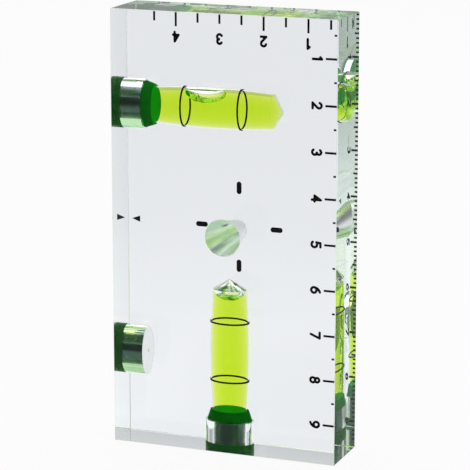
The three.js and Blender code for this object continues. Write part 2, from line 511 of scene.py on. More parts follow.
streaks_outside = streaked_film("streaked film outside")
print("streaks begin", round(VIAL_DEPTH / MM, 2), "mm up the vial")

# %% [markdown]
# The liquid is a bright yellow-green, deeper where there is more of it to look through. A tinted surface
# would have one colour whatever the depth, so the colour is in the volume.

# %% Liquid
LIQUID_LETS_THROUGH = (0.899, 0.973, 0.19)
LIQUID_DENSITY = 500.0
LIQUID_TINTS = ((1, 1, 1), (0.985, 1, 0.97))
LIQUID_PATCH = 6 * MM


def liquid_material():
    """The liquid bends nothing against the wall, which has the ratio of both; it only colours."""
    material = clear_material("vial liquid", NO_BENDING, LIQUID_TINTS, patch=LIQUID_PATCH)
    tree = material.node_tree
    absorption = tree.nodes.new("ShaderNodeVolumeAbsorption")
    absorption.inputs["Color"].default_value = (*LIQUID_LETS_THROUGH, 1)
    absorption.inputs["Density"].default_value = LIQUID_DENSITY
    tree.links.new(absorption.outputs["Volume"], tree.nodes["Material Output"].inputs["Volume"])
    return material


liquid_green = liquid_material()
print("liquid lets through, per", round(1000 / LIQUID_DENSITY, 1), "mm:", LIQUID_LETS_THROUGH)

# %% [markdown]
# Caps and seals are moulded green plastic, a little uneven in colour and sheen. A seal lies against
# acrylic, which takes most of its gloss away, so it has a lower index than a cap. Its inner end faces
# the lit liquid and looks much lighter than its flank, so that light is painted in: the end has a
# lighter copy of the seal's green.

# %% Green plastic
PLUG_PATCH, SHEEN_PATCH, GRAIN_PATCH = 2.2 * MM, 0.9 * MM, 0.35 * MM
GRAIN_DEPTH = 0.01 * MM
PLUG_ROUGHNESS = (0.28, 0.42)
PLUG_SPECULAR = 0.15
CAP_INDEX, SEAL_INDEX = 1.5, 1.04
CAP_GREENS = ((0.001, 0.11, 0.004), (0.004, 0.17, 0.009))
SEAL_GREENS = ((0.001, 0.19, 0.003), (0.003, 0.28, 0.007))
SEAL_END_PAINTED_LIGHT = ((0.001, 0.62, 0.006), (0.003, 0.76, 0.012))


def plug_material(name, greens, index):
    """Green moulded plug, with slight mottling in colour and gloss; index is against what it touches."""
    material, tree, shader = new_material(name)
    tree.links.new(ramp(tree, mottle(tree, PLUG_PATCH), *greens), shader.inputs["Base Color"])
    tree.links.new(spread(tree, mottle(tree, SHEEN_PATCH), *PLUG_ROUGHNESS), shader.inputs["Roughness"])
    shader.inputs["IOR"].default_value = index
    shader.inputs["Specular IOR Level"].default_value = PLUG_SPECULAR
    bump(tree, shader, mottle(tree, GRAIN_PATCH), GRAIN_DEPTH)
    return material


cap_green = plug_material("green cap", CAP_GREENS, CAP_INDEX)
seal_green = plug_material("green seal", SEAL_GREENS, SEAL_INDEX)
# The seal's end: a lighter copy of its green, with painted light.
seal_end_painted_light = plug_material("green seal end, painted light", SEAL_END_PAINTED_LIGHT, SEAL_INDEX)
print("green plastics:", cap_green.name, seal_green.name, seal_end_painted_light.name)

# %% [markdown]
# The magnets are plated with nickel over a turned surface, whose marks run round the disc. Noise that is
# stretched across the disc's axis makes them, so lying and upright discs each need a stretch. The metal
# is written as a painted reflection, dark green in place of bright nickel, because a disc lies in a close
# bore and mirrors little but that.

# %% Nickel plate
TURNING_MARK = 0.08 * MM
TURNING_DEPTH = 0.001 * MM
# Painted reflection: dark green that stands for the close bore a disc mirrors, not bare nickel's colour.
NICKEL_PAINTED_REFLECTION = ((0.022, 0.08, 0.04), (0.05, 0.125, 0.075))
NICKEL_ROUGHNESS = (0.2, 0.28)
MARKS_ALONG_X, MARKS_ALONG_Z = (1, 0.01, 0.01), (0.01, 0.01, 1)


def nickel_material(name, marks):
    """Turned nickel plating, its dark green colour a painted reflection. The turning marks are noise that
    changes along the disc's axis only.
    """
    material, tree, shader = new_material(name)
    lines = mottle(tree, TURNING_MARK, marks)
    tree.links.new(ramp(tree, lines, *NICKEL_PAINTED_REFLECTION), shader.inputs["Base Color"])
    tree.links.new(spread(tree, lines, *NICKEL_ROUGHNESS), shader.inputs["Roughness"])
    shader.inputs["Metallic"].default_value = 1.0
    bump(tree, shader, lines, TURNING_DEPTH)
    return material


nickel_lying = nickel_material("nickel plate, lying", MARKS_ALONG_X)
nickel_upright = nickel_material("nickel plate, upright", MARKS_ALONG_Z)
print("turning marks", round(TURNING_MARK / MM, 2), "mm apart")

# %% [markdown]
# The vials' rings and the printing are black and half matt. Printed ink is never quite even, so its
# black and its sheen vary in small patches.

# %% Black ring and printing ink
BLACK_PATCH = 0.6 * MM
BLACKS = ((0.002, 0.002, 0.002), (0.005, 0.005, 0.006))
RING_ROUGHNESS, INK_ROUGHNESS = 0.4, 0.5
DULLER_PATCH = 0.15
BLACK_SPECULAR = 0.05


def black_material(name, roughness):
    """Black, half matt, with patches of slightly thinner and duller black."""
    material, tree, shader = new_material(name)
    patches = mottle(tree, BLACK_PATCH)
    tree.links.new(ramp(tree, patches, *BLACKS), shader.inputs["Base Color"])
    sheen = spread(tree, patches, roughness, roughness + DULLER_PATCH)
    tree.links.new(sheen, shader.inputs["Roughness"])
    shader.inputs["Specular IOR Level"].default_value = BLACK_SPECULAR
    return material


ring_black = black_material("ring black", RING_ROUGHNESS)
ink_black = black_material("printing ink", INK_ROUGHNESS)
print("materials:", len(bpy.data.materials))

# %% [markdown]
# A finished piece needs to be told two things: its materials and the body that it moves with.


# %% Dressing a piece
def paint(piece, slot, *materials):
    """Give a piece its materials; the slot is not used."""
    piece.data.materials.clear()
    for material in materials:
        piece.data.materials.append(material)
    return piece


def dress(piece, body, slot, *materials):
    """Paint a piece, and let it move with a body."""
    paint(piece, slot, *materials)
    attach(piece, body)
    return piece


# %% [markdown]
# The block is a plate with its edges broken just enough not to cut the hand. It could be cut from the
# CAD node, but that has flat facets on its bores, and facets show in clear plastic. So a fresh plate
# gets smooth bores, each cut by its own spun section.

# %% The block's bores
EDGE_BREAK = 0.15 * MM
OVERRUN = 2 * MM
PILOT_RADIUS = 0.45 * MM
PILOT_DEPTH = 0.35 * MM
MAGNET_ROOM = 0.05 * MM
SIDE_BORE_FLOOR = SEAT_DEPTH + MAGNET_ROOM


def vial_bore(name, bore):
    """The section of a vial's bore: magnet seat, countersink, barrel and drill point."""
    return spun(name, [
        (0, -OVERRUN),
        (MAGNET_BORE_RADIUS, -OVERRUN),
        (MAGNET_BORE_RADIUS, SEAT_DEPTH),
        (SEAL_WIDE_RADIUS, SEAT_DEPTH),
        (SEAL_NARROW_RADIUS, VIAL_START),
        *barrel_wall(VIAL_START, VIAL_DEPTH),
        (0, VIAL_TIP),
    ], bore)


def magnet_bore(name, bore):
    """The section of the side magnet's bore: flat at the bottom, with the cutter's centre mark."""
    return spun(name, [
        (0, -OVERRUN),
        (MAGNET_BORE_RADIUS, -OVERRUN),
        (MAGNET_BORE_RADIUS, SIDE_BORE_FLOOR),
        (PILOT_RADIUS, SIDE_BORE_FLOOR),
        (0, SIDE_BORE_FLOOR + PILOT_DEPTH),
    ], bore)


# %% [markdown]
# The marking hole guides a pencil point to the wall behind: wide in front, narrow at the printed face.
# A cone with its rims lightly broken cuts it, spun on an axis that runs from front to back.

# %% The tapered hole
HOLE_BELOW_TOP = 47.9 * MM
HOLE_HEIGHT = block_high.z - HOLE_BELOW_TOP
HOLE_FRONT_RADIUS = 4 * MM
HOLE_BACK_RADIUS = 2.2 * MM
HOLE_EDGE = 0.12 * MM


def mark_hole():
    """A taper through the block from the front, with its rims lightly broken."""
    depth = block_high.y - block_low.y
    bore = (Vector((0, block_low.y, HOLE_HEIGHT)), Vector((0, 1, 0)), RIGHT)
    return spun("mark_hole", [
        (0, -OVERRUN),
        (HOLE_FRONT_RADIUS + HOLE_EDGE + OVERRUN, -OVERRUN),
        (HOLE_FRONT_RADIUS + HOLE_EDGE, 0),
        (HOLE_FRONT_RADIUS, HOLE_EDGE),
        (HOLE_BACK_RADIUS, depth - HOLE_EDGE),
        (HOLE_BACK_RADIUS + HOLE_EDGE, depth),
        (HOLE_BACK_RADIUS + HOLE_EDGE + OVERRUN, depth + OVERRUN),
        (0, depth + OVERRUN),
    ], bore)


# %% The block's polished, wetted and cut faces
POLISHED, WETTED, DRILLED, CUT = range(4)
NEAR = 0.02 * MM
ON_THE_FACE = 0.01 * MM
VIAL_MARGIN = 0.1 * MM


def place_in_bore(point, bore):
    """How deep in a bore a point lies, and how far from the axis."""
    mouth, inward, _ = bore
    depth = (point - mouth).dot(inward)
    return depth, (point - mouth - inward * depth).length


def in_vial(depth, radius):
    """True on a vial's own wall, past the seal."""
    along = VIAL_START - NEAR < depth < VIAL_TIP + VIAL_MARGIN
    return along and radius < VIAL_MIDDLE_RADIUS + VIAL_MARGIN


def left_unpolished(point):
    """True on the side bore's floor, on the broken edges and in the marking hole."""
    if abs(point.x - block_low.x - SIDE_BORE_FLOOR) < ON_THE_FACE and point.z < HOLE_HEIGHT:
        return True
    near_sides = [min(point[axis] - block_low[axis], block_high[axis] - point[axis]) for axis in range(3)]
    if sorted(near_sides)[1] < EDGE_BREAK:
        return True
    from_hole = math.hypot(point.x, point.z - HOLE_HEIGHT)
    in_hole = from_hole < HOLE_FRONT_RADIUS + 2 * HOLE_EDGE
    return in_hole and abs(point.y) < block_high.y - ON_THE_FACE


def surface_kind(point):
    """Which of the block's four materials the face at a point has."""
    for bore in (UPPER_BORE, LOWER_BORE):
        depth, radius = place_in_bore(point, bore)
        if in_vial(depth, radius):
            return DRILLED if depth > VIAL_DEPTH + NEAR else WETTED
    return CUT if left_unpolished(point) else POLISHED


# %% The block
BLOCK_SMOOTH_DEGREES = 12
BEVEL_SEGMENTS = 2


def plate():
    """A cube at the block's size, with its edges broken."""
    bpy.ops.object.select_all(action="DESELECT")
    size = block_high - block_low
    bpy.ops.mesh.primitive_cube_add(size=1, location=(block_low + block_high) / 2, scale=size)
    piece = settle(bpy.context.object, "acrylic_body")
    start_edit("EDGE")
    bpy.ops.mesh.select_all(action="SELECT")
    bpy.ops.mesh.bevel(offset=EDGE_BREAK, segments=BEVEL_SEGMENTS)
    end_edit()
    return piece


acrylic_body = plate()
for cutter in [
    vial_bore("upper_bore", UPPER_BORE),
    vial_bore("lower_bore", LOWER_BORE),
    magnet_bore("side_bore", SIDE_BORE),
    mark_hole(),
]:
    carve(acrylic_body, cutter)
soften(acrylic_body, BLOCK_SMOOTH_DEGREES)
block_materials = (acrylic_in_air, acrylic_in_liquid, drilled_in_liquid, reamed_hole)
dress(acrylic_body, "block", "clear_acrylic", *block_materials)
for face in acrylic_body.data.polygons:
    face.material_index = surface_kind(face.center)
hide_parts("acrylic_block")
print("block faces:", len(acrylic_body.data.polygons))

# %% The block's painted glow
PAINTED_GLOW_INSET = 0.03 * MM
# A body just inside the block's surface carries the painted glow.
painted_glow_body = grown(acrylic_body, "acrylic_painted_glow", -PAINTED_GLOW_INSET)
dress(painted_glow_body, "block", "clear_acrylic", acrylic_painted_glow)
for face in painted_glow_body.data.polygons:
    face.material_index = 0
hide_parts("acrylic_block")
print("painted glow body", PAINTED_GLOW_INSET / MM, "mm inside the block's surface")

# %% [markdown]
# Behind each cap lies a nickel-plated disc magnet with a little air round it. The cap and the seal are
# pressed in and touch the acrylic, so their colour shows right to the edge, while the thin air gap
# round a magnet turns the bore's wall into a mirror at low angles, as in the photograph.

# %% Magnets, caps and seals
CONTACT = 0.02 * MM
MAGNET_CHAMFER = 0.3 * MM
CAP_ROUND = 0.15 * MM
PAST_THE_ROUND = 1.2
SEAL_END = VIAL_START + CONTACT / 2
SEAL_END_FROM = VIAL_START + CONTACT / 4


def rounded(corner_radius, corner_depth, size, towards, steps=4):
    """Points of a quarter round at a corner of a section; towards is the sign along the depth."""
    points = []
    for i in range(steps + 1):
        turn = math.pi / 2 * i / steps
        radius = corner_radius - size * (1 - math.cos(turn))
        depth = corner_depth - towards * size * (1 - math.sin(turn))
        points.append((radius, depth))
    return points


def magnet(name, bore):
    """A disc with rounded edges; a ring of points inside each round keeps the ends flat."""
    radius = MAGNET_RADIUS
    margin = PAST_THE_ROUND * MAGNET_CHAMFER
    return spun(name, [
        (0, MAGNET_START),
        (radius - margin, MAGNET_START),
        *rounded(radius, MAGNET_START, MAGNET_CHAMFER, -1)[::-1],
        (radius, MAGNET_START + margin),
        (radius, SEAT_DEPTH - margin),
        *rounded(radius, SEAT_DEPTH, MAGNET_CHAMFER, 1),
        (radius - margin, SEAT_DEPTH),
        (0, SEAT_DEPTH),
    ], bore)


def cap(name, bore):
    """A disc that fills the mouth of the bore."""
    radius = MAGNET_BORE_RADIUS + CONTACT
    inner = rounded(radius, CAP_THICKNESS, CAP_ROUND, 1)
    flat = radius - PAST_THE_ROUND * CAP_ROUND
    return spun(name, [(0, 0), (radius, 0), *inner, (flat, CAP_THICKNESS), (0, CAP_THICKNESS)], bore)


def seal(name, bore):
    """A tapered plug with a narrower neck, which presses on the vial's shoulder."""
    return spun(name, [
        (0, SEAL_START),
        (SEAL_WIDE_RADIUS + CONTACT, SEAL_START),
        (SEAL_NARROW_RADIUS + CONTACT, VIAL_START),
        (barrel_radius(VIAL_START) + CONTACT, SEAL_END),
        (0, SEAL_END),
    ], bore)


# %% Magnets, caps and seals in their bores
BORES = {"upper": UPPER_BORE, "lower": LOWER_BORE, "side": SIDE_BORE}
for place, bore in BORES.items():
    disc = soften(magnet(f"{place}_magnet_disc", bore))
    dress(disc, "block", "nickel_plate", nickel_upright if place == "lower" else nickel_lying)
    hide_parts(f"{place}_magnet")
    plug = soften(cap(f"{place}_cap_plug", bore))
    dress(plug, "block", "green_plug", cap_green)
    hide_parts(f"{place}_magnet_cap")

VIALS = {"upper": UPPER_BORE, "lower": LOWER_BORE}
for place, bore in VIALS.items():
    plug = soften(seal(f"{place}_seal_plug", bore))
    # The second material is the seal's end, with painted light on it.
    dress(plug, "block", "green_plug", seal_green, seal_end_painted_light)
    for face in plug.data.polygons:
        depth, _ = place_in_bore(face.center, bore)
        face.material_index = int(depth > SEAL_END_FROM)
    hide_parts(f"{place}_vial_seal")
print("magnets and caps:", len(BORES), "seals:", len(VIALS))

# %% [markdown]
# Two thin black rings round each vial mark where its bubble stands when the block is true. Paint on the
# wall would have no edge to catch the light, so each ring is a band of its own, let into the wall.

# %% Rings
RING_WIDTH = 0.36 * MM
RING_THICKNESS = 0.2 * MM
RING_PROUD = 0.04 * MM
RING_SPACING = 13 * MM
RING_DEPTHS = {"outer": VIAL_MIDDLE - RING_SPACING / 2, "inner": VIAL_MIDDLE + RING_SPACING / 2}


def ring(name, bore, depth):
    """A thin band let into the wall, standing a hair proud of it so that it covers its groove."""
    inner = barrel_radius(depth) - RING_PROUD
    outer = inner + RING_THICKNESS
    low, high = depth - RING_WIDTH / 2, depth + RING_WIDTH / 2
    return spun(name, [(inner, low), (outer, low), (outer, high), (inner, high), (inner, low)], bore)


for place, bore in VIALS.items():
    for which, depth in RING_DEPTHS.items():
        band = soften(ring(f"{place}_{which}_band", bore, depth))
        dress(band, "block", "black_ring", ring_black)
        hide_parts(f"{place}_vial_{which}_ring")
print("rings at", [round(depth / MM, 1) for depth in RING_DEPTHS.values()], "mm from the mouth")

# %% [markdown]
# A bubble is the air that the liquid leaves free. In the lying vial it floats against the top of the
# barrel, flat above and round below. In the upright vial it fills the drill point, and the liquid
# climbs the wall round it. Each bubble is made as a thin skin of liquid round nothing: the skin's
# outside bends no light, and its inside bends it as liquid against air does.

# %% The upper bubble
WALL_GAP = 0.02 * MM
BUBBLE_FILM = 0.1 * MM
SKIN = 0.02 * MM
UPPER_BUBBLE_ALONG = 20.05 * MM
UPPER_BUBBLE_LENGTH = 9.5 * MM
UPPER_BUBBLE_WIDTH = 5.6 * MM
UPPER_BUBBLE_RISE = 3.4 * MM
UPPER_BUBBLE_BELOW = 0.85 * MM
BUBBLE_SEGMENTS, BUBBLE_RINGS = 96, 48
BUBBLE_VOXEL = 0.09 * MM
SMOOTH_FACTOR, SMOOTH_ROUNDS = 0.6, 12
ALL_SMOOTH = 180


def vial_inside(name, bore, inset):
    """All of a vial's inside, less a film along its wall."""
    return spun(name, [
        (0, VIAL_START + CONTACT + inset),
        *barrel_wall(VIAL_START + CONTACT + inset, VIAL_DEPTH, inset),
        (0, VIAL_TIP - inset / math.sin(DRILL_POINT_HALF_ANGLE)),
    ], bore)


def upper_bubble_shape():
    """An ellipsoid cut off by the barrel's top, with the cut's edge rounded by smoothing."""
    mouth, inward, _ = UPPER_BORE
    centre = mouth + inward * UPPER_BUBBLE_ALONG + UP * UPPER_BUBBLE_RISE
    reach = (UPPER_BUBBLE_LENGTH / 2, UPPER_BUBBLE_WIDTH / 2, UPPER_BUBBLE_RISE - UPPER_BUBBLE_BELOW)
    bpy.ops.object.select_all(action="DESELECT")
    bpy.ops.mesh.primitive_uv_sphere_add(
        segments=BUBBLE_SEGMENTS, ring_count=BUBBLE_RINGS, radius=1, location=centre, scale=reach
    )
    blob = settle(bpy.context.object, "upper_bubble_skin")
    carve(blob, vial_inside("bubble_room", UPPER_BORE, BUBBLE_FILM), "INTERSECT")
    finish_with(blob, "REMESH", mode="VOXEL", voxel_size=BUBBLE_VOXEL)
    finish_with(blob, "SMOOTH", factor=SMOOTH_FACTOR, iterations=SMOOTH_ROUNDS)
    return soften(blob, ALL_SMOOTH)


# %% The lower bubble
LOWER_BUBBLE_WALL = 0.4 * MM
LOWER_BUBBLE_SAG = 2.2 * MM
BOWL_STEPS = 28


def lower_bubble_shape():
    """A cone over a deep bowl, with round edges where the bowl meets the wall."""
    radius = barrel_radius(VIAL_DEPTH) - BUBBLE_FILM
    edge = VIAL_DEPTH - LOWER_BUBBLE_WALL
    bowl = []
    for i in range(BOWL_STEPS + 1):
        turn = math.pi / 2 * i / BOWL_STEPS
        bowl.append((radius * math.sin(turn), edge - LOWER_BUBBLE_SAG * math.cos(turn)))
    tip = VIAL_TIP - BUBBLE_FILM / math.sin(DRILL_POINT_HALF_ANGLE)
    return soften(spun("lower_bubble_skin", [*bowl, (radius, VIAL_DEPTH), (0, tip)], LOWER_BORE))


upper_bubble = upper_bubble_shape()
lower_bubble = lower_bubble_shape()
print("bubble faces:", len(upper_bubble.data.polygons), len(lower_bubble.data.polygons))


# %% Liquid round the bubbles
def keep_between(piece, low, high):
    """Keep what lies in a box."""
    bpy.ops.object.select_all(action="DESELECT")
    low, high = Vector(low), Vector(high)
    bpy.ops.mesh.primitive_cube_add(size=1, location=(low + high) / 2, scale=high - low)
    return carve(piece, settle(bpy.context.object, "keeper"), "INTERSECT")


upper_liquid = vial_inside("upper_liquid_left", UPPER_BORE, WALL_GAP)
carve(upper_liquid, grown(upper_bubble, "upper_cavity", SKIN / 2))
lower_liquid = vial_inside("lower_liquid_column", LOWER_BORE, WALL_GAP)
carve(lower_liquid, grown(lower_bubble, "lower_cavity", SKIN / 2))
print("liquid faces:", len(upper_liquid.data.polygons), len(lower_liquid.data.polygons))

# %% [markdown]
# The bubbles move, and the liquid flows round them. So the lying vial's liquid is made in two halves
# that meet at the bubble's middle. The upright vial has a column below the bubble, a film above it,
# and a leaf inside it.

# %% Liquid cut into parts round the bubbles
HALF_GAP = 0.005 * MM
LIQUID_SMOOTH_DEGREES = 40
bubble_x = block_low.x + UPPER_BUBBLE_ALONG
upper_right = twin(upper_liquid, "upper_liquid_right")
keep_between(upper_liquid, block_low, (bubble_x - HALF_GAP, block_high.y, block_high.z))
keep_between(upper_right, (bubble_x + HALF_GAP, block_low.y, block_low.z), block_high)

LEAF_BELOW_CONE = 0.2 * MM
LEAF_HEIGHT = VIAL_DEPTH - LEAF_BELOW_CONE
LEAF_THICKNESS = 0.01 * MM
LEAF_CLEARANCE = 3 * SKIN
lower_film = twin(lower_liquid, "lower_liquid_film")
keep_between(lower_liquid, block_low, (block_high.x, block_high.y, LEAF_HEIGHT - HALF_GAP))
keep_between(lower_film, (block_low.x, block_low.y, LEAF_HEIGHT + HALF_GAP), block_high)
leaf_radius = barrel_radius(VIAL_DEPTH) - BUBBLE_FILM - LEAF_CLEARANCE
lower_leaf = spun("lower_liquid_leaf", [
    (0, LEAF_HEIGHT),
    (leaf_radius, LEAF_HEIGHT),
    (leaf_radius, LEAF_HEIGHT + LEAF_THICKNESS),
    (0, LEAF_HEIGHT + LEAF_THICKNESS),
], LOWER_BORE)

for piece in (upper_liquid, upper_right, lower_liquid, lower_film, lower_leaf):
    soften(piece, LIQUID_SMOOTH_DEGREES)
    paint(piece, "vial_liquid", liquid_green)
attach(lower_film, "block")
for piece in (upper_liquid, upper_right):
    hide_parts("upper_vial_liquid")
for piece in (lower_liquid, lower_film, lower_leaf):
    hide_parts("lower_vial_liquid")


# %% Skins of the bubbles
def skin(piece, body, node, outside):
    """Turn a bubble's shape into a thin closed skin, whose inside has a material of its own."""
    dress(piece, body, "bubble_air", outside, film_inside)
    finish_with(piece, "SOLIDIFY", thickness=SKIN, offset=-1, material_offset=1)
    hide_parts(node)


skin(upper_bubble, "upper_bubble", "upper_vial_bubble", film_outside)
skin(lower_bubble, "lower_bubble", "lower_vial_bubble", streaks_outside)
print("skins", SKIN / MM, "mm thick")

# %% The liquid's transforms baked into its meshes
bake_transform(upper_liquid)
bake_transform(upper_right)
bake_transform(lower_liquid)
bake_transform(lower_leaf)

# %% [markdown]
# All printing is on the back face and reads from the front through the block. Ticks are bars of ink,
# modelled once and repeated by Array modifiers. Both scales have their zero at the same corner, which
# lies a little outside the block's own, to the right and up.

# %% Printing: places and ticks
CM = 10 * MM
INK = 0.02 * MM
INK_CONTACT = -0.01 * MM
INK_MIDDLE = block_high.y + INK / 2 + INK_CONTACT
PRINT_TO_RIGHT, PRINT_UP = 0.4 * MM, 0.34 * MM
ZERO_X = block_high.x + PRINT_TO_RIGHT
ZERO_Z = block_high.z + PRINT_UP
FLAT_RIGHT = block_high.x - EDGE_BREAK
FLAT_TOP = block_high.z - EDGE_BREAK
FINE_TICK, BOLD_TICK = 0.43 * MM, 0.48 * MM


def ink_bar(left, right, low, high):
    """A bar of ink on the back face."""
    bpy.ops.object.select_all(action="DESELECT")
    place = ((left + right) / 2, INK_MIDDLE, (low + high) / 2)
    bpy.ops.mesh.primitive_cube_add(size=1, location=place, scale=(right - left, INK, high - low))
    return settle(bpy.context.object, "bar")


def repeat(piece, count, step):
    """Repeat a piece by an array, and apply it."""
    return finish_with(
        piece, "ARRAY", count=count, use_relative_offset=False, use_constant_offset=True,
        constant_offset_displace=step,
    )


def gather(name, parts):
    """Join parts into one piece."""
    bpy.ops.object.select_all(action="DESELECT")
    for part in parts:
        part.select_set(True)
    bpy.context.view_layer.objects.active = parts[0]
    bpy.ops.object.join()
    parts[0].name = name
    return parts[0]


def side_tick(millimetre, length, width):
    """One tick of the side scale, at a whole number of millimetres below the zero corner."""
    z = ZERO_Z - millimetre * MM
    return ink_bar(ZERO_X - length, FLAT_RIGHT, z - width / 2, z + width / 2)


def top_tick(half_centimetres, length):
    """One tick of the top scale."""
    x = ZERO_X - half_centimetres * 5 * MM
    return ink_bar(x - BOLD_TICK / 2, x + BOLD_TICK / 2, ZERO_Z - length, FLAT_TOP)


# %% Printing: the two scales
MILLIMETRE_DOWN, CENTIMETRE_DOWN, CENTIMETRE_LEFT = (0, 0, -MM), (0, 0, -CM), (-CM, 0, 0)
SIDE_TICK, SIDE_FIVE_TICK, SIDE_TEN_TICK = 3 * MM, 4.2 * MM, 6.1 * MM
TOP_FIVE_TICK, TOP_TEN_TICK = 3.8 * MM, 4.8 * MM


def four_ticks(first):
    """Four millimetre ticks that start at a whole number of millimetres."""
    return repeat(side_tick(first, SIDE_TICK, FINE_TICK), 4, MILLIMETRE_DOWN)


side_ticks = gather("side_scale_ticks", [
    repeat(four_ticks(1), 10, CENTIMETRE_DOWN),
    repeat(four_ticks(6), 9, CENTIMETRE_DOWN),
    repeat(side_tick(5, SIDE_FIVE_TICK, FINE_TICK), 9, CENTIMETRE_DOWN),
    repeat(side_tick(10, SIDE_TEN_TICK, BOLD_TICK), 9, CENTIMETRE_DOWN),
])
top_ticks = gather("top_scale_ticks", [
    repeat(top_tick(1, TOP_FIVE_TICK), 5, CENTIMETRE_LEFT),
    repeat(top_tick(2, TOP_TEN_TICK), 2, CENTIMETRE_LEFT),
    top_tick(6, TOP_FIVE_TICK),
    top_tick(8, TOP_TEN_TICK),
])
print("faces of the ticks:", len(side_ticks.data.polygons), len(top_ticks.data.polygons))

# %% [markdown]
# An arrow at each edge points to the line through the marking hole, and four short bars with round ends
# make a cross about it. An arrowhead is a three-sided cylinder pulled to its width and length, and a
# bar is a plane whose corners are bevelled round, so both keep clean outlines with few faces.

# %% Printing: arrows and the cross
CENTRE_FROM_ZERO, CENTRE_BELOW_ZERO = 25.5 * MM, 47.58 * MM
PRINT_CENTRE_X = ZERO_X - CENTRE_FROM_ZERO
PRINT_CENTRE_Z = ZERO_Z - CENTRE_BELOW_ZERO
ARROW_LENGTH, ARROW_WIDTH, ARROW_INSET = 1.9 * MM, 1.4 * MM, 0.7 * MM
TOP_ARROW_LENGTH, TOP_ARROW_INSET = 0.85 * MM, 0.15 * MM
CROSS_REACH, CROSS_LENGTH, CROSS_WIDTH = 8.6 * MM, 2.75 * MM, 1.12 * MM
ALMOST_HALF = 0.499
ROUND_END_SEGMENTS = 10
UNIT_TRIANGLE_WIDTH, UNIT_TRIANGLE_HEIGHT = math.sqrt(3), 1.5


def arrow(x, z, degrees, length=ARROW_LENGTH):
    """A solid arrowhead with its tip at x, z; 0 degrees points right, 90 up."""
    bpy.ops.object.select_all(action="DESELECT")
    bpy.ops.mesh.primitive_cylinder_add(vertices=3, radius=1, depth=INK, location=(0, 0, 0))
    piece = bpy.context.object
    start_edit()
    bpy.ops.mesh.select_all(action="SELECT")
    bpy.ops.transform.translate(value=(0, -1, 0))
    size = (ARROW_WIDTH / UNIT_TRIANGLE_WIDTH, length / UNIT_TRIANGLE_HEIGHT, 1)
    bpy.ops.transform.resize(value=size, center_override=(0, 0, 0))
    end_edit()
    piece.rotation_euler = (math.pi / 2, 0, 0)
    only(piece)
    bpy.ops.object.transform_apply(location=False, rotation=True, scale=False)
    piece.rotation_euler = (0, math.radians(90 - degrees), 0)
    piece.location = (x, INK_MIDDLE, z)
    return settle(piece, "arrow")


def cross_bar(x, z, upright):
    """A bar with round ends, made from a plane by rounding its corners and extruding it."""
    size = (CROSS_WIDTH, CROSS_LENGTH, 1) if upright else (CROSS_LENGTH, CROSS_WIDTH, 1)
    bpy.ops.object.select_all(action="DESELECT")
    bpy.ops.mesh.primitive_plane_add(size=1, rotation=(math.pi / 2, 0, 0))
    bpy.context.object.scale = size
    bpy.context.object.location = (x, block_high.y + INK + INK_CONTACT, z)
    piece = settle(bpy.context.object, "cross_bar")
    start_edit()
    bpy.ops.mesh.select_all(action="SELECT")
    offset = ALMOST_HALF * CROSS_WIDTH
    bpy.ops.mesh.bevel(offset=offset, segments=ROUND_END_SEGMENTS, affect="VERTICES")
    bpy.ops.mesh.extrude_region_move(TRANSFORM_OT_translate={"value": (0, -INK, 0)})
    bpy.ops.mesh.select_all(action="SELECT")
    bpy.ops.mesh.normals_make_consistent(inside=False)
    end_edit()
    return piece


arrows = gather("edge_arrows", [
    arrow(FLAT_RIGHT - ARROW_INSET, PRINT_CENTRE_Z, 0),
    arrow(PRINT_CENTRE_X, FLAT_TOP - TOP_ARROW_INSET, 90, TOP_ARROW_LENGTH),
    arrow(block_low.x + EDGE_BREAK + ARROW_INSET, PRINT_CENTRE_Z, 180),
    arrow(PRINT_CENTRE_X, block_low.z + EDGE_BREAK + ARROW_INSET, 270),
])
cross = gather("cross_marks", [
    cross_bar(PRINT_CENTRE_X - CROSS_REACH, PRINT_CENTRE_Z, False),
    cross_bar(PRINT_CENTRE_X + CROSS_REACH, PRINT_CENTRE_Z, False),
    cross_bar(PRINT_CENTRE_X, PRINT_CENTRE_Z - CROSS_REACH, True),
    cross_bar(PRINT_CENTRE_X, PRINT_CENTRE_Z + CROSS_REACH, True),
])
print("arrows at", [round(v / MM, 1) for v in (PRINT_CENTRE_X, PRINT_CENTRE_Z)], "mm")

# %% [markdown]
# The figures are drawn as a draughtsman's pen would: one stroke of even width with round ends. Each is
# a chain of points in a cell one unit wide and 1.6 high, with arcs worked out by a formula. The chain
# becomes a curve with a round bevel, and the tube is welded and pressed flat onto the face.

# %% Figures: the drawn lines
FIGURE_HEIGHT = 2.0 * MM
CELL_WIDTH, CELL_HEIGHT = 1.0, 1.6


def arc(x, y, radius, start, end, steps=14):
    """Points of an arc in a figure's cell, in degrees."""
    angles = [math.radians(start + (end - start) * i / steps) for i in range(steps + 1)]
    return [(x + radius * math.cos(a), y + radius * math.sin(a)) for a in angles]


FIGURES = {
    "1": [(0.28, 1.32), (0.6, 1.6), (0.6, 0.0)],
    "2": [*arc(0.5, 1.15, 0.45, 165, -40), (0.03, 0.0), (0.97, 0.0)],
    "3": [*arc(0.48, 1.19, 0.41, 150, -75), *arc(0.48, 0.43, 0.45, 75, -150)],
    "4": [(0.72, 0.0), (0.72, 1.6), (0.0, 0.48), (1.0, 0.48)],
    "5": [(0.9, 1.6), (0.22, 1.6), (0.12, 0.88), *arc(0.48, 0.5, 0.5, 130, -145)],
    "6": [*arc(1.14, 0.48, 1.12, 105, 180), *arc(0.5, 0.48, 0.48, 180, 540, 28)[1:]],
    "7": [(0.0, 1.6), (1.0, 1.6), (0.35, 0.0)],
    "8": [*arc(0.5, 1.2, 0.39, -90, 270, 24), *arc(0.5, 0.43, 0.45, 90, -270, 28)],
    "9": [*arc(-0.14, 1.12, 1.12, -75, 0), *arc(0.5, 1.12, 0.48, 0, 360, 28)[1:]],
}
print("figures drawn:", " ".join(FIGURES))

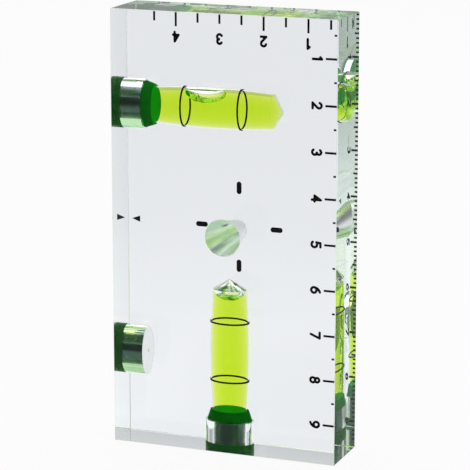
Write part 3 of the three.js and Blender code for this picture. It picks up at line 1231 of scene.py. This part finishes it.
# %% [markdown]
# Where a figure's line turns sharply, as in a 4 or a 7, one bevelled curve would grow thin at the
# corner. So the line is split there into strokes, and a ball closes each stroke's end.

# %% Figures: from line to ink
PEN_WIDTH = 0.59 * MM
PEN_ROUNDNESS = 3
BALL_SEGMENTS, BALL_RINGS = 16, 8
FIGURE_VOXEL = 0.06 * MM
FIGURE_SMOOTH_DEGREES = 60
SHARP_TURN = math.radians(50)


def strokes(points):
    """Split a figure's line at its sharp corners, so that each stroke keeps its full width."""
    parts, stroke = [], [points[0]]
    for before, here, after in zip(points, points[1:], points[2:]):
        stroke.append(here)
        turn = (Vector(here) - Vector(before)).angle(Vector(after) - Vector(here))
        if turn > SHARP_TURN:
            parts.append(stroke)
            stroke = [here]
    return [*parts, [*stroke, points[-1]]]


def pen_tubes(name, lines):
    """A tube of the pen's width along each line."""
    path = bpy.data.curves.new(name, "CURVE")
    path.dimensions = "3D"
    path.bevel_depth = PEN_WIDTH / 2
    path.bevel_resolution = PEN_ROUNDNESS
    path.use_fill_caps = True
    for line in lines:
        spline = path.splines.new("POLY")
        spline.points.add(len(line) - 1)
        for point, (u, v) in zip(spline.points, line):
            point.co = (u, 0, v, 1)
    pen = bpy.data.objects.new(name, path)
    bpy.context.collection.objects.link(pen)
    only(pen)
    bpy.ops.object.convert(target="MESH")
    return bpy.context.object


def pen_ball(u, v):
    """A ball of the pen's width, which rounds the end of a stroke."""
    bpy.ops.object.select_all(action="DESELECT")
    bpy.ops.mesh.primitive_uv_sphere_add(
        segments=BALL_SEGMENTS, ring_count=BALL_RINGS, radius=PEN_WIDTH / 2, location=(u, 0, v)
    )
    return bpy.context.object


def figure(name, digit, x, z, degrees):
    """Draw one figure centred on x, z of the back face, turned clockwise as seen from the front."""
    scale = FIGURE_HEIGHT / CELL_HEIGHT
    points = [((u - CELL_WIDTH / 2) * scale, (v - CELL_HEIGHT / 2) * scale) for u, v in FIGURES[digit]]
    lines = strokes(points)
    ends = [points[0], *(line[-1] for line in lines)]
    piece = gather(name, [pen_tubes(name, lines), *(pen_ball(u, v) for u, v in ends)])
    finish_with(piece, "REMESH", mode="VOXEL", voxel_size=FIGURE_VOXEL)
    piece.scale = (1, INK / PEN_WIDTH, 1)
    piece.rotation_euler = (0, math.radians(degrees), 0)
    piece.location = (x, INK_MIDDLE, z)
    return settle(piece, name)


# %% Figures: the two rows
FIGURES_FROM_ZERO, FIGURES_BELOW_ZERO = 7.95 * MM, 7.05 * MM
SIDE_FIGURE_X = ZERO_X - FIGURES_FROM_ZERO
TOP_FIGURE_Z = ZERO_Z - FIGURES_BELOW_ZERO
side_figures = gather("side_scale_figures", [
    figure(f"side_{k}", str(k), SIDE_FIGURE_X, ZERO_Z - k * CM, 90) for k in range(1, 10)
])
top_figures = gather("top_scale_figures", [
    figure(f"top_{k}", str(k), ZERO_X - k * CM, TOP_FIGURE_Z, 180) for k in range(1, 5)
])
for piece in (side_figures, top_figures):
    soften(piece, FIGURE_SMOOTH_DEGREES)
printed = (side_ticks, top_ticks, arrows, cross, side_figures, top_figures)
for piece in printed:
    dress(piece, "block", "black_ink", ink_black)
print("printed pieces:", len(printed))

# %% [markdown]
# The studio is a pale floor that runs out of sight, a plain surround and two soft boxes. More light
# would make the floor white, but would bleach the block too. So floor and surround tell kinds of light
# apart by Light Path. The camera sees white. Light that has come straight through the block meets the
# same brightness in front as behind. Mirrored light meets the floor and surround bright behind the
# block and dark on the side that the camera stands on, which draws the dark bands on the magnets.


# %% What each kind of light meets
def share_between(tree, value, start, end):
    """A value as a share of the way from start to end."""
    return math_node(tree, "MULTIPLY_ADD", value, 1 / (end - start), -start / (end - start))


def product(tree, first, *others):
    """Several values multiplied together."""
    for other in others:
        first = math_node(tree, "MULTIPLY", first, other)
    return first


def shine_dimmer(tree, path, share):
    """A factor that dims what the outer faces mirror, and leaves the rest."""
    return math_node(tree, "MULTIPLY_ADD", path.outputs["Is Reflection Ray"], share - 1, 1.0)


def side_seen(tree, path, place):
    """How far behind the block a place lies. Light that has come straight through the block meets
    the same in front as behind, so the block is as clear from its back; mirrored light doesn't."""
    turned = math_node(tree, "ADD", path.outputs["Glossy Depth"], path.outputs["Diffuse Depth"])
    straight = math_node(tree, "SUBTRACT", 1.0, math_node(tree, "MINIMUM", turned, 1.0))
    straight = math_node(tree, "MULTIPLY", straight, path.outputs["Is Transmission Ray"])
    fold = math_node(tree, "SUBTRACT", math_node(tree, "ABSOLUTE", place), place)
    return math_node(tree, "MULTIPLY_ADD", fold, straight, place)


# %% [markdown]
# The floor's levels are given by metres behind the block. Three strips change them: one to the right,
# one in front and one that slants to the camera's side. A strip is two places in metres, and its own
# levels are given at shares of the way between them.

# %% Floor: brightness for light that left the block
FLOOR_START = -0.5
FLOOR_LEVELS = {
    FLOOR_START: 0.3, -0.35: 0.4, -0.25: 0.66, -0.15: 0.98, 0.0: 0.98, 0.06: 0.97, 0.12: 0.935, 0.2: 0.9,
    0.45: 0.9,
}
RIGHT_STRIP = (-0.02, 0.08)
RIGHT_LEVELS = {0.0: 1.0, 1.0: 0.92}
FRONT_STRIP = (0.0, -0.1)
FRONT_DARKNESS = {0.06: 0.0, 0.12: 1.0, 0.6: 1.0, 0.9: 0.0}
SLANTED_STRIP = (-0.05, 0.05)
SLANTED_DARKNESS = {0.3: 0.0, 0.42: 1.0}
CAMERA_SIDE_SLOPE = 0.33
CAMERA_SIDE_DARK = 0.7
FLOOR_SHINE = 0.2


def floor_brightness(tree, path, right, behind):
    """The floor's levels by distance behind the block, with the dark place on the camera's side."""
    away = side_seen(tree, path, behind)
    from_start = {distance - FLOOR_START: level for distance, level in FLOOR_LEVELS.items()}
    shade = grey_ramp(tree, math_node(tree, "SUBTRACT", away, FLOOR_START), from_start)
    sideways = grey_ramp(tree, share_between(tree, right, *RIGHT_STRIP), RIGHT_LEVELS)
    in_front = grey_ramp(tree, share_between(tree, away, *FRONT_STRIP), FRONT_DARKNESS)
    slanted = math_node(tree, "MULTIPLY_ADD", behind, -CAMERA_SIDE_SLOPE, right)
    beside = grey_ramp(tree, share_between(tree, slanted, *SLANTED_STRIP), SLANTED_DARKNESS)
    dark = product(tree, in_front, beside, CAMERA_SIDE_DARK)
    sideways = product(tree, sideways, math_node(tree, "SUBTRACT", 1.0, dark))
    return product(tree, shade, sideways, shine_dimmer(tree, path, FLOOR_SHINE))


# %% Floor: painted green light right under the block, which its lower edges pick up
UNDER_BLOCK = 8 * MM
UNDER_BLOCK_FADE = {0.8: 1.0, 0.88: 0.0}
PAINTED_GREEN_LIGHT = (0.42, 0.66, 0.33)


def under_tint(tree, right, behind, past_block):
    """White, but with painted green light right under the block, for light that has passed it."""
    near = math_node(tree, "MULTIPLY", math_node(tree, "ABSOLUTE", behind), 1 / UNDER_BLOCK)
    under = grey_ramp(tree, near, UNDER_BLOCK_FADE)
    within = math_node(tree, "LESS_THAN", math_node(tree, "ABSOLUTE", right), block_high.x)
    return ramp(tree, product(tree, under, within, past_block), (1, 1, 1), PAINTED_GREEN_LIGHT)


# %% Floor
FLOOR_SIZE = 6.0
FLOOR_GAP = 0.02 * MM
FLOOR_PATCH = 0.4
FLOOR_PALES = ((0.86, 0.86, 0.87), (0.9, 0.9, 0.9))
FLOOR_ROUGHNESS = 0.9
PLAIN_SHARE = 0.08


def floor_material():
    """White to the camera, pale for all soft light, and by its levels for light that left the block.
    A small share stays plain to the camera, so that the block's shadow shows."""
    material, tree, shader = new_material("pale floor")
    tree.links.new(ramp(tree, mottle(tree, FLOOR_PATCH), *FLOOR_PALES), shader.inputs["Base Color"])
    shader.inputs["Roughness"].default_value = FLOOR_ROUGHNESS
    place = tree.nodes.new("ShaderNodeTexCoord")
    split = tree.nodes.new("ShaderNodeSeparateXYZ")
    tree.links.new(place.outputs["Object"], split.inputs[0])
    right, behind = split.outputs["X"], split.outputs["Y"]
    path = tree.nodes.new("ShaderNodeLightPath")
    glossy, through = path.outputs["Is Glossy Ray"], path.outputs["Is Transmission Ray"]
    past_block = math_node(tree, "MAXIMUM", glossy, through)
    tone = tree.nodes.new("ShaderNodeMix")
    tree.links.new(past_block, tone.inputs["Factor"])
    tone.inputs["A"].default_value = 1.0
    tree.links.new(floor_brightness(tree, path, right, behind), tone.inputs["B"])
    glow = tree.nodes.new("ShaderNodeEmission")
    # The glow's colour carries the painted green light under the block.
    tree.links.new(under_tint(tree, right, behind, past_block), glow.inputs["Color"])
    tree.links.new(tone.outputs["Result"], glow.inputs["Strength"])
    direct = math_node(tree, "MULTIPLY", path.outputs["Is Camera Ray"], 1 - PLAIN_SHARE)
    mix = tree.nodes.new("ShaderNodeMixShader")
    tree.links.new(math_node(tree, "MAXIMUM", direct, past_block), mix.inputs["Fac"])
    tree.links.new(shader.outputs[0], mix.inputs[1])
    tree.links.new(glow.outputs[0], mix.inputs[2])
    tree.links.new(mix.outputs[0], tree.nodes["Material Output"].inputs["Surface"])
    return material


bpy.ops.object.select_all(action="DESELECT")
bpy.ops.mesh.primitive_plane_add(size=FLOOR_SIZE, location=(0, 0, -FLOOR_GAP))
floor = settle(bpy.context.object, "floor")
floor.data.materials.append(floor_material())
print("floor", FLOOR_SIZE, "m wide")

# %% World
WORLD_LEVELS = {0.2: 0.14, 0.5: 0.32, 0.75: 0.68}
WORLD_SPAN = (-1.0, 1.0)
WORLD_SHINE = 0.68


def make_world():
    """A surround that is white to the camera; other light finds it bright behind and dark in front."""
    world = bpy.data.worlds.new("studio")
    scene.world = world
    world.use_nodes = True
    tree = world.node_tree
    background = tree.nodes["Background"]
    place = tree.nodes.new("ShaderNodeTexCoord")
    split = tree.nodes.new("ShaderNodeSeparateXYZ")
    tree.links.new(place.outputs["Generated"], split.inputs[0])
    path = tree.nodes.new("ShaderNodeLightPath")
    away = side_seen(tree, path, split.outputs["Y"])
    depth = grey_ramp(tree, share_between(tree, away, *WORLD_SPAN), WORLD_LEVELS)
    seen = tree.nodes.new("ShaderNodeMix")
    tree.links.new(path.outputs["Is Camera Ray"], seen.inputs["Factor"])
    tree.links.new(product(tree, depth, shine_dimmer(tree, path, WORLD_SHINE)), seen.inputs["A"])
    seen.inputs["B"].default_value = 1.0
    tree.links.new(seen.outputs["Result"], background.inputs["Strength"])
    background.inputs["Color"].default_value = (1, 1, 1, 1)


make_world()
print("surround levels:", WORLD_LEVELS)

# %% [markdown]
# A large soft box over the block lights its top and gives the floor a soft shadow. A smaller one lights
# the right face. Area lamps are used, because small ones would leave hard spots in polished plastic.

# %% Lamps
SOFT_BOXES = {
    "top_box": {"place": (-0.2, 0.1, 0.9), "size": 1.6, "watts": 8},
    "right_box": {"place": (0.8, -0.2, 0.35), "size": 0.9, "watts": 2},
}


def soft_box(name, place, size, watts):
    """A square area lamp aimed at the middle of the block."""
    bpy.ops.object.light_add(type="AREA", location=place)
    lamp = bpy.context.object
    lamp.name = name
    lamp.data.size = size
    lamp.data.energy = watts
    target = (block_low + block_high) / 2
    lamp.rotation_euler = (target - Vector(place)).to_track_quat("-Z", "Y").to_euler()


for name, values in SOFT_BOXES.items():
    soft_box(name, **values)
print("soft boxes:", len(SOFT_BOXES))
